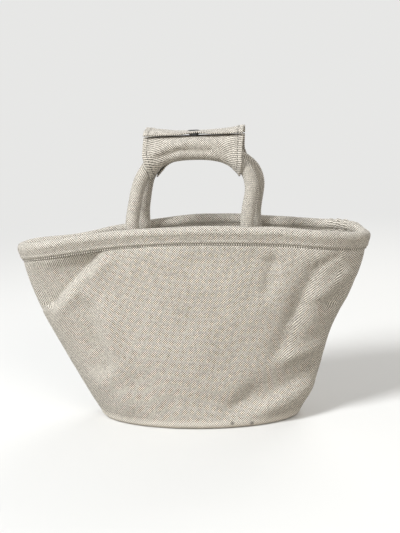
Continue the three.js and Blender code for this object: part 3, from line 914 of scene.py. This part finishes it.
def panel_place(side):
    def place(u, v):
        angle = angle_at(u, side)
        start_rise = rise_at(angle, cloth_thickness / 2 + base_bend)
        if v >= bend_share:
            rise = mix(start_rise, 1.0, (v - bend_share) / (1 - bend_share))
            return draped_wall(angle, rise, panel_offset, side)
        turn = v / bend_share * math.pi / 2
        inset = base_bend * (1 - math.sin(turn))
        point = draped_wall(angle, start_rise, panel_offset - inset, side)
        point.z = cloth_thickness / 2 + base_bend * (1 - math.cos(turn))
        return point
    return place


for half, side in halves:
    panel, flat, area = lay_cloth(
        half + "_panel_cloth", panel_columns, panel_rows, panel_place(side), oatmeal, cloth_thickness)
    dress(panel, "bag", "oatmeal_cloth", half + "_panel")

# %% Lining
lining_columns = 150
lining_rows = 80
lining_offset = -(wall_half - lining_thickness / 2)
lining_foot = 0.0046


def lining_place(side):
    def place(u, v):
        angle = angle_at(u, side)
        rise = mix(rise_at(angle, lining_foot), 1.0, v)
        return draped_wall(angle, rise, lining_offset, side)
    return place


for half, side in halves:
    lining, flat, area = lay_cloth(
        half + "_lining_cloth", lining_columns, lining_rows, lining_place(side), lining_cloth,
        lining_thickness)
    dress(lining, "bag", "lining_cloth", half + "_lining")

# %% Base cloth, inside and out
base_inset = base_bend + 0.0005
base_columns = 60
base_rows = 36
base_lining_columns = 80
base_lining_rows = 48
base_lining_dome = 0.0015


def oval_place(half_length, half_depth, height, dome):
    """A grid squeezed into an oval, with a slight uneven rise in the middle."""
    def place(u, v):
        a = 2 * u - 1
        b = 2 * v - 1
        x = a * math.sqrt(1 - b * b / 2)
        y = b * math.sqrt(1 - a * a / 2)
        middle = 1 - ease(0.0, 1.0, math.hypot(x, y))
        sway = 0.5 + 0.5 * smooth_noise(x * 4, y * 3, 5.0)
        return Vector((half_length * x, half_depth * y, height + dome * middle * sway))
    return place


outer_half_length = base_half_length + panel_offset - base_inset
outer_half_depth = base_half_depth + panel_offset - base_inset
base_cloth, flat, area = lay_cloth(
    "base_panel_cloth", base_columns, base_rows,
    oval_place(outer_half_length, outer_half_depth, cloth_thickness / 2, 0.0),
    oatmeal, cloth_thickness)
dress(base_cloth, "bag", "oatmeal_cloth", "base_panel")

lining_low, lining_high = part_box("base_lining")
base_inner, flat, area = lay_cloth(
    "base_lining_cloth", base_lining_columns, base_lining_rows,
    oval_place(lining_high.x, lining_high.y, (lining_low.z + lining_high.z) / 2, base_lining_dome),
    lining_cloth, lining_thickness)
dress(base_inner, "bag", "lining_cloth", "base_lining")
frame["nodes"]["base_board"].data.materials.clear()
frame["nodes"]["base_board"].data.materials.append(grey_board)

# %% [markdown]
# ## The corded rim
# A strip of the same cloth is rolled over a cord and its two edges are sewn down over the top of the
# panel and the lining. Its section is a teardrop: a round roll whose two flanges slant in to the row
# of stitches. A curve with a bevel could sweep it, but a grid laid round that section gives the strip
# its real thickness, its thread directions and the small gathers that the sewing pulls into it.

# %% Rim sizes
binding_rows = 56
binding_offset = wall_half + layer_gap + binding_thickness / 2
roll_middle = roll_radius - binding_thickness / 2
rim_stitch_drop = 0.0082
# How far a flange stands off the wall where it leaves the roll, outside (1) and inside (-1).
flange_leave = {1: 0.0038, -1: 0.0020}


def roll_exit(out):
    """Where a flange leaves the roll: its turn from straight down, and its rise over the wall's edge."""
    turn = math.asin((binding_offset + flange_leave[out]) / roll_middle)
    return turn, binding_bore - roll_middle * math.cos(turn)


outer_turn, outer_rise = roll_exit(1)
inner_turn, inner_rise = roll_exit(-1)
roll_run = roll_middle * (2 * math.pi - outer_turn - inner_turn)
outer_run = flange_run + outer_rise
binding_run = outer_run + roll_run + flange_run + inner_rise
print("rim strip %.1f mm wide, roll %.1f mm thick" % (binding_run * 1e3, 2e3 * roll_radius))

# %% Rim flanges
strip_height = 0.0007
strip_above_stitches = 0.0028
strip_width = 0.0017
stitch_groove_depth = 0.0008
stitch_groove_width = 0.0009
flange_gather = 0.0003
flange_gather_start = 0.004


def flange_lift(drop, out):
    """The strip slants in from the roll, bulges above the row of stitches and is pulled in by it."""
    rise = outer_rise if out > 0 else inner_rise
    slant = flange_leave[out] * max(1 - (drop + rise) / (rim_stitch_drop + rise), 0.0)
    below_stitches = drop - rim_stitch_drop
    strip = strip_height * bump_at(0.0, strip_width, below_stitches + strip_above_stitches)
    groove = stitch_groove_depth * bump_at(0.0, stitch_groove_width, below_stitches)
    return slant + strip - groove


def flange_point(angle, drop, out, side):
    """On a flange, this far below the wall's top edge; out is 1 outside and -1 inside."""
    rise = rise_at(angle, wall_edge(angle) - drop)
    point, outward = wall_point(angle, rise, out * binding_offset)
    gather = smooth_noise(point.x * 120, out * 3, point.z * 40 + side)
    lift = flange_lift(drop, out) + flange_gather * gather * ease(0.0, flange_gather_start, drop)
    return point + outward * out * lift


print("stitches pull the flange in by %.2f mm" % (-1e3 * flange_lift(rim_stitch_drop, 1)))

# %% Rim binding
lump_height = 0.0005
wave_height = 0.0010
gather_length = 0.0090
gather_depth = 0.0008
gather_span = (0.77, 0.83, 0.90, 0.95)


def binding_place(side):
    def place(u, v):
        angle = angle_at(u, side)
        run = v * binding_run
        if run < outer_run:
            return flange_point(angle, flange_run - run, 1, side)
        if run > outer_run + roll_run:
            return flange_point(angle, run - outer_run - roll_run - inner_rise, -1, side)
        turn = outer_turn + (run - outer_run) / roll_middle
        crown, outward = wall_point(angle, 1.0, 0.0)
        radius = roll_middle + lump_height * smooth_noise(crown.x * 45, turn * 0.8, 11.0 + side)
        if angle > 0:
            gathers = math.sin(2 * math.pi * crown.x / gather_length)
            gathers *= between(*gather_span, math.cos(angle))
            radius += gather_depth * gathers
        point = crown + outward * radius * math.sin(turn)
        wave = wave_height * smooth_noise(crown.x * 16, 3.0, side)
        point.z = rim_height(angle) - radius * math.cos(turn) + wave
        return point
    return place


rim_cloth = make_cloth("oatmeal rim", row=flange_run - rim_stitch_drop, **oatmeal_look)
for half, side in halves:
    binding, flat, area = lay_cloth(
        "rim_binding_%s_cloth" % half, panel_columns, binding_rows, binding_place(side), rim_cloth,
        binding_thickness)
    dress(binding, "bag", "oatmeal_cloth", "rim_binding_" + half, "rim_cord_" + half)

# %% [markdown]
# ## Stitches
# A sewing machine leaves a row of short pale dashes, each sunk at its ends. They are real little
# shapes here: one low-sided ball is stretched into a dash and repeated along a line of points, all
# in one mesh, so a whole row is one light piece.

# %% Stitch helper
stitch_share = 0.66
stitch_radius = 0.00042
stitch_sides = 7
stitch_rings = 5


def length_along(points):
    """The run from the first point to each point of a line."""
    return np.concatenate(([0], np.linalg.norm(np.diff(points, axis=0), axis=1).cumsum()))


def sew_row(name, line, facing, body):
    """Dashes along a line of points; facing gives the outward direction at each point."""
    points = np.array(line)
    run = length_along(points)
    mesh = bmesh.new()
    uv = mesh.loops.layers.uv.new(cloth_map)
    count = 2 * int(run[-1] / stitch_pitch / 2)
    first_end = (run[-1] - count * stitch_pitch) / 2
    for k in range(count):
        middle = first_end + (k + 0.5) * stitch_pitch
        ends = [middle - stitch_pitch * stitch_share / 2, middle + stitch_pitch * stitch_share / 2]
        first, last = [Vector([np.interp(s, run, points[:, axis]) for axis in range(3)]) for s in ends]
        nearest = min(int(np.searchsorted(run, middle)), len(line) - 1)
        out = Vector(facing[nearest]).normalized()
        along = (last - first).normalized()
        aside = along.cross(out).normalized()
        turn = Matrix((aside, out, along)).transposed().to_4x4()
        size = Matrix.Diagonal((stitch_radius, stitch_radius, (last - first).length / 2, 1))
        place = Matrix.Translation((first + last) / 2) @ turn @ size
        bmesh.ops.create_uvsphere(
            mesh, u_segments=stitch_sides, v_segments=stitch_rings, radius=1.0, matrix=place)
    for face in mesh.faces:
        face.smooth = True
        for loop in face.loops:
            loop[uv].uv = (loop.vert.co.x + loop.vert.co.y, loop.vert.co.z)
    row = finish_mesh(name, mesh, sewing_thread)
    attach(row, body)
    print("%s: %d stitches" % (name, count))


# %% Rim stitches
stitch_seat = binding_offset + flange_lift(rim_stitch_drop, 1) + binding_thickness / 2

for half, side in halves:
    line = []
    facing = []
    for i in range(2, 2 * panel_columns - 1):
        angle = angle_at(i / (2 * panel_columns), side)
        rise = rise_at(angle, wall_edge(angle) - rim_stitch_drop)
        point, outward = wall_point(angle, rise, stitch_seat)
        line.append(point)
        facing.append(outward)
    sew_row("rim_stitches_" + half, line, facing, "bag")

# %% [markdown]
# ## The handles
# Each handle is one stuffed cloth tube. It starts as a flat tab sewn to the lining, rounds off as it
# passes the rim, rises straight, and bends over in a flat arch that leans in towards the other handle.
# The back one stands a few millimetres further right, so both show. On the real bag the arch swings
# about its two roots and the cloth bends there; here the whole tube is one fixed mesh, tied neither to
# the bag nor to the handle's swing.

# %% Handle sizes from the frame
joints = {joint["name"]: joint for joint in frame["joints"]}
root_place = Vector(joints["front_handle_swing"]["pos_m"])
root_depth = -root_place.y
root_height = root_place.z
sleeve_radius = 0.0085
handle_straight = 0.028
handle_arch_power = 2.4
handle_top_depth = 0.010
handle_side_lean = 0.07
handle_shoulder_sway = 0.0042
shoulder_low = 0.045
shoulder_high = 0.055
back_handle_shift = 0.004
back_handle_stretch = 0.02

sleeve_low, sleeve_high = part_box("front_handle_sleeve")
handle_half_span = -sleeve_low.x - sleeve_radius
climb_height = sleeve_high.z - sleeve_radius - root_height
climb_run = math.hypot(climb_height, root_depth - handle_top_depth)
handle_arch_rise = climb_run - handle_straight
handle_lean = math.asin((root_depth - handle_top_depth) / climb_run)
print("handle span %.3f, arch rise %.4f, lean %.1f deg" % (
    2 * handle_half_span, handle_arch_rise, math.degrees(handle_lean)))


# %% The arch of a handle
def arch_point(turn):
    """The arch's centre line in its own plane: turn is pi at the left leg and 0 at the right."""
    roundness = 2 / handle_arch_power
    x = math.copysign(handle_half_span * abs(math.cos(turn)) ** roundness, math.cos(turn))
    return Vector((x, handle_straight + handle_arch_rise * max(math.sin(turn), 0.0) ** roundness))


def shift_right(height):
    """How far a handle leans and sways to the right at this height."""
    above = max(height - root_height, 0.0)
    sway = between(0.0, shoulder_low, shoulder_high, climb_height, above)
    return handle_side_lean * above + handle_shoulder_sway * sway


def handle_shift(side, x):
    """How far the back handle stands to the right of the front one."""
    return back_handle_shift + back_handle_stretch * max(x, 0.0) if side > 0 else 0.0


def in_handle_plane(side, x, thick, climb):
    """From the handle's own plane to the bag: leaning in, with a small lean to the right."""
    along = root_height + climb * math.cos(handle_lean)
    y = side * root_depth + thick * math.cos(handle_lean) - side * climb * math.sin(handle_lean)
    z = along + side * thick * math.sin(handle_lean)
    return Vector((x + handle_shift(side, x) + shift_right(along), y, z))


def even_points(points, steps):
    """Points evenly spaced along a flat line of points."""
    run = length_along(points)
    spots = np.linspace(0, run[-1], steps + 1)
    return np.column_stack([np.interp(spots, run, points[:, axis]) for axis in (0, 1)])


print("front handle's arch is %.3f m high" % in_handle_plane(-1, 0.0, 0.0, climb_run).z)

# %% Handle stations
handle_steps = 150
arch_steps = 240
leg_shares = (0.0, 0.25, 0.5, 0.75)
tab_steps = 26
tab_half_width = 0.012
tab_half_thickness = 0.0017
tab_drop = 0.044
tab_top = root_height - sleeve_radius - layer_gap
tab_flat_end = 0.7
tab_turn_start = 0.15
tab_turn_end = 0.8


def handle_path():
    """Points of the arch and its two legs, evenly spaced."""
    raw = [Vector((-handle_half_span, share * handle_straight)) for share in leg_shares]
    raw += [arch_point(math.pi * (1 - i / arch_steps)) for i in range(arch_steps + 1)]
    raw += [Vector((handle_half_span, share * handle_straight)) for share in reversed(leg_shares)]
    return even_points(np.array(raw), handle_steps)


def tab_station(side, hand, down):
    """Centre, across, through and half sizes of the sewn-down end of a leg."""
    height = tab_top - tab_drop * down
    root_x = hand * handle_half_span + handle_shift(side, hand * handle_half_span)
    angle = side * math.acos(root_x / rim_half_length)
    rise = min(rise_at(angle, height), 1.0)
    wall_angle = side * math.acos(root_x / wall_length(rise))
    seat, outward = wall_point(wall_angle, rise, -(wall_half + layer_gap + tab_half_thickness))
    flat = ease(0.0, tab_flat_end, down)
    to_wall = ease(tab_turn_start, tab_turn_end, down)
    through = Vector((0, 1, 0)).lerp(outward * side, to_wall).normalized()
    across = Vector((through.y, -through.x, 0)) * hand
    centre = Vector((mix(root_x, seat.x, to_wall), mix(side * root_depth, seat.y, to_wall), height))
    half_width = mix(sleeve_radius, tab_half_width, flat)
    half_thick = mix(sleeve_radius, tab_half_thickness, flat)
    return centre, across, through, half_width, half_thick


def handle_stations(side):
    """Every cross-section of a handle, from its left tab over the arch to its right tab."""
    path = handle_path()
    tangents = np.gradient(path, axis=0)
    stations = [tab_station(side, -1, 1 - i / tab_steps) for i in range(tab_steps)]
    for k, (x, climb) in enumerate(path):
        tangent = Vector(tangents[k]).normalized()
        centre = in_handle_plane(side, x, 0.0, climb)
        across = in_handle_plane(side, x - tangent.y, 0.0, climb + tangent.x) - centre
        through = in_handle_plane(side, x, 1.0, climb) - centre
        stations.append((centre, across.normalized(), through, sleeve_radius, sleeve_radius))
    stations += [tab_station(side, 1, (i + 1) / tab_steps) for i in range(tab_steps)]
    return stations


print("handle laid through", len(handle_stations(-1)), "sections")

# %% Handles
handle_sides = 36
lump_swell = 0.03
crease_swell = 0.03
seam_sink = 0.07
seam_width = 0.012


def handle_place(side):
    stations = handle_stations(side)
    last = len(stations) - 1

    def place(u, v):
        centre, across, through, half_width, half_thick = stations[round(v * last)]
        turn = 2 * math.pi * u
        lump = smooth_noise(centre.x * 50, centre.z * 50, math.cos(turn) + side)
        crease = smooth_noise(v * 90, math.sin(turn) * 1.5, side * 4.0)
        inner_side = max(-math.cos(turn), 0.0)
        seam = bump_at(0.5, seam_width, u)
        swell = 1 + lump_swell * lump + crease_swell * crease * inner_side - seam_sink * seam
        return (centre + across * half_width * swell * math.cos(turn)
                + through * half_thick * swell * math.sin(turn))
    return place, last


for half, side in halves:
    place, handle_rows = handle_place(side)
    handle, flat, area = lay_cloth(
        half + "_handle_cloth", handle_sides, handle_rows, place, handle_weave, close_ends=True)
    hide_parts(half + "_handle_sleeve", half + "_handle_core")
    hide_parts("handle_end_%s_left" % half, "handle_end_%s_right" % half)
    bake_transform(handle)

# %% [markdown]
# ## The wrap
# A hand-wide piece of cloth holds the two handles together. Its front leaf goes under and round the
# front handle, its back leaf round the back handle, and a flap comes over the top from the back and
# snaps down. The ends stand up a little and the snap holds the middle down, so the top looks like
# a bow. Each is laid along a smooth curve through a few points of its section.

# %% Wrap sizes from the frame
wrap_ease = 0.0012
leaf_middle_gap = 0.0006
front_leaf_low, front_leaf_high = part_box("wrap_front_leaf")
flap_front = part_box("wrap_flap")[0].y
flap_hinge = Vector(joints["wrap_flap_open"]["pos_m"])
wrap_half_length = (front_leaf_high.x - front_leaf_low.x) / 2
wrap_foot_half_mm = 54
wrap_top_half_mm = 61
wrap_foot_share = wrap_foot_half_mm / wrap_top_half_mm
tail_height = front_leaf_high.z - cloth_thickness / 2
cap_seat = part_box("snap_socket")[1].z
print("wrap %.0f mm long, flap hinge at" % (2e3 * wrap_half_length), [round(x, 4) for x in flap_hinge])

# %% Section helpers
search_steps = 30
search_nudge = 1e-4
curve_steps = 10


def climb_inside(x, inset):
    """How far up its plane the arch is at x, on a line this far inside its centre line."""
    low = 0.0
    high = math.pi / 2
    spot = arch_point(high)
    for step in range(search_steps):
        turn = (low + high) / 2
        along = (arch_point(turn - search_nudge) - arch_point(turn + search_nudge)).normalized()
        spot = arch_point(turn) + Vector((along.y, -along.x)) * inset
        if spot.x > abs(x):
            low = turn
        else:
            high = turn
    return spot.y


def round_handle(x, reach, turn):
    """(depth, height) beside the handle: turn is 90 degrees underneath, 0 outside, -90 on top."""
    climb = climb_inside(x, reach * math.sin(turn))
    outward = reach * math.cos(turn)
    depth = root_depth - climb * math.sin(handle_lean) + outward * math.cos(handle_lean)
    height = root_height + climb * math.cos(handle_lean) + outward * math.sin(handle_lean)
    return depth, height


def smooth_curve(corners, steps):
    """Points evenly spaced on a smooth curve through the corners."""
    knots = np.array([corners[0], *corners, corners[-1]], float)
    fine = []
    for k in range(1, len(knots) - 2):
        before, start, end, after = knots[k - 1:k + 3]
        for t in np.linspace(0, 1, curve_steps, endpoint=False):
            fine.append(0.5 * (2 * start + (end - before) * t
                               + (2 * before - 5 * start + 4 * end - after) * t * t
                               + (3 * start - before - 3 * end + after) * t ** 3))
    fine.append(knots[-1])
    return even_points(np.array(fine), steps)


def wrap_x(share):
    """From the wrap's left end to its right end."""
    return mix(-wrap_half_length, wrap_half_length, share)


print("arch's inner edge climbs %.3f m in the middle" % climb_inside(0.0, sleeve_radius))

# %% Sections of the leaves
wrap_columns = 110
leaf_rows = 64
hem_width = 0.009
hem_step_run = 0.001
hem_lift = 0.0007
end_flare = 0.0024
end_flare_start = 0.036
foot_tuck = 0.95
under_turns = [math.radians(angle) for angle in (90, 62, 35, 8)]
# Points of a section over the handle: how far in from the hinge or the shoulder, how far below the top.
back_top_inset = 0.0010
back_middle_inset = 0.0006
back_top_drop = 0.0014
shoulder_inset = 0.0058
shoulder_bulge = 0.0022
shoulder_rise_share = 0.55
shoulder_turn_inset = 0.0018
shoulder_turn_drop = 0.0026
tail_start_inset = 0.0060


def hem_step(x):
    """Extra cloth where an end is turned in and sewn."""
    hem_start = wrap_half_length - hem_width
    return hem_lift * ease(hem_start - hem_step_run, hem_start, abs(x))


def leaf_section(side, x):
    """(depth, height) points from under the handles, round the outside, to the top."""
    stand_off = end_flare * ease(end_flare_start, wrap_half_length, abs(x))
    reach = sleeve_radius + wrap_ease + cloth_thickness / 2 + hem_step(x) + stand_off
    foot_x = x * wrap_foot_share * foot_tuck
    corners = [round_handle(foot_x, reach, turn) for turn in under_turns]
    corners.insert(0, (leaf_middle_gap, corners[0][1]))
    outside_height = corners[-1][1]
    if side > 0:
        top_depth = flap_hinge.y + hem_step(x)
        corners.append((top_depth - back_middle_inset, (outside_height + flap_hinge.z) / 2))
        corners.append((top_depth - back_top_inset, flap_hinge.z - back_top_drop))
        return smooth_curve(corners, leaf_rows)
    shoulder = -front_leaf_low.y - shoulder_inset
    corners.append((shoulder + shoulder_bulge, mix(outside_height, tail_height, shoulder_rise_share)))
    corners.append((shoulder - shoulder_turn_inset, tail_height - shoulder_turn_drop))
    corners.append((shoulder - tail_start_inset, tail_height))
    corners.append((-front_leaf_high.y, tail_height))
    return smooth_curve(corners, leaf_rows)


print("front leaf %.0f mm long in the middle" % (1e3 * length_along(leaf_section(-1, 0.0))[-1]))

# %% Wrap leaves
hem_stitch_inset = 0.0062
leaf_ripple = 0.0007
# Spans along a section, as shares of its length from the foot.
ripple_span = (0.1, 0.3, 0.75, 0.9)
slant_span = (0.1, 0.6)
back_shift_span = (0.4, 0.8)
# As for the body: start (x, z), end (x, z), spread to the left and right, height.
leaf_folds = (
    ((-0.046, 0.342), (-0.010, 0.352), 0.005, 0.004, 0.0016),
    ((-0.048, 0.334), (-0.018, 0.344), 0.004, 0.004, -0.0016),
    ((-0.018, 0.344), (0.022, 0.343), 0.003, 0.004, -0.0012),
)


def leaf_place(side):
    sections = [leaf_section(side, wrap_x(i / wrap_columns)) for i in range(wrap_columns + 1)]

    def place(u, v):
        share = u if side < 0 else 1 - u
        x = wrap_x(share)
        depth, height = sections[round(share * wrap_columns)][round(v * leaf_rows)]
        slant = mix(wrap_foot_share, 1.0, ease(*slant_span, v))
        ripple = leaf_ripple * smooth_noise(x * 60, v * 3.5, 21.0 + side)
        if side < 0:
            ripple += fold_height(leaf_folds, x, height)
        outward = depth + ripple * between(*ripple_span, v)
        shift = shift_right(height) + handle_shift(side, x) * (1 - ease(*back_shift_span, v))
        return Vector((x * slant + shift, side * outward, height))
    return place


hem_cloth = make_cloth("oatmeal hem", row=hem_stitch_inset, on_hems=True, **small_piece_look)
for half, side in halves:
    leaf, flat, area = lay_cloth(
        "wrap_%s_leaf_cloth" % half, wrap_columns, leaf_rows, leaf_place(side), hem_cloth,
        cloth_thickness)
    dress(leaf, half + "_handle", "oatmeal_cloth", "wrap_%s_leaf" % half)

# %% [markdown]
# ## The flap and its snap
# The flap is laid from its fold at the back to its free front edge, which stands off a little at the
# snap. The snap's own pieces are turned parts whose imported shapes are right, so they stay and only get
# their steel.

# %% Section of the flap
flap_rows = 48
flap_mid = cap_seat + layer_gap + cloth_thickness / 2
flap_edge = flap_front + cloth_thickness / 2
flap_flare = 0.0040
flap_flare_power = 1.2
flap_flat_half = 0.012
flap_gap_lift = 0.0024
flap_gap_middle = 0.003
flap_gap_width = 0.014
# Points of the section: how far from the hinge or the front edge, and how far below the flat top.
fold_inset = 0.0016
fold_drop = 0.0012
fold_flare_share = 0.45
flat_inset = 0.0080
flat_end = 0.003
front_run = 0.006
front_drop = 0.0020
front_flare_share = 0.5
front_gap_share = 0.3


def flap_section(x):
    """(depth, height) points from the hinge, over the top, to the front edge."""
    spread = max(abs(x) - flap_flat_half, 0.0) / (wrap_half_length - flap_flat_half)
    flare = flap_flare * spread ** flap_flare_power + hem_step(x)
    top = flap_mid + flare
    gap = flap_gap_lift * bump_at(flap_gap_middle, flap_gap_width, x)
    corners = [
        (flap_hinge.y, flap_hinge.z),
        (flap_hinge.y - fold_inset, flap_mid - fold_drop + flare * fold_flare_share),
        (flap_hinge.y - flat_inset, top),
        (flat_end, top),
        (flap_edge + front_run, flap_mid + flare * front_flare_share + gap * front_gap_share),
        (flap_edge, flap_mid - front_drop + gap),
    ]
    return smooth_curve(corners, flap_rows)


flap_sections = [flap_section(wrap_x(i / wrap_columns)) for i in range(wrap_columns + 1)]
print("flap runs %.0f mm from its hinge to its front edge" % (1e3 * (flap_hinge.y - flap_edge)))

# %% Flap
flap_ripple = 0.0008
ripple_start = (0.05, 0.3)
ripple_off_snap = (0.014, 0.03)


def flap_place(u, v):
    x = wrap_x(1 - u)
    depth, height = flap_sections[round((1 - u) * wrap_columns)][round(v * flap_rows)]
    free = ease(*ripple_start, v) * ease(*ripple_off_snap, abs(x))
    ripple = flap_ripple * smooth_noise(x * 55, depth * 40, 31.0) * free
    return Vector((x + handle_side_lean * (height - root_height), depth, height + ripple))


flap, flat, area = lay_cloth(
    "wrap_flap_cloth", wrap_columns, flap_rows, flap_place, hem_cloth, cloth_thickness)
dress(flap, "wrap_flap", "oatmeal_cloth", "wrap_flap")

# %% Snap
for node_name in ("snap_cap", "snap_socket", "snap_stud", "snap_post"):
    node = frame["nodes"][node_name]
    node.data.materials.clear()
    node.data.materials.append(snap_steel)
print("snap pieces dressed in", snap_steel.name)
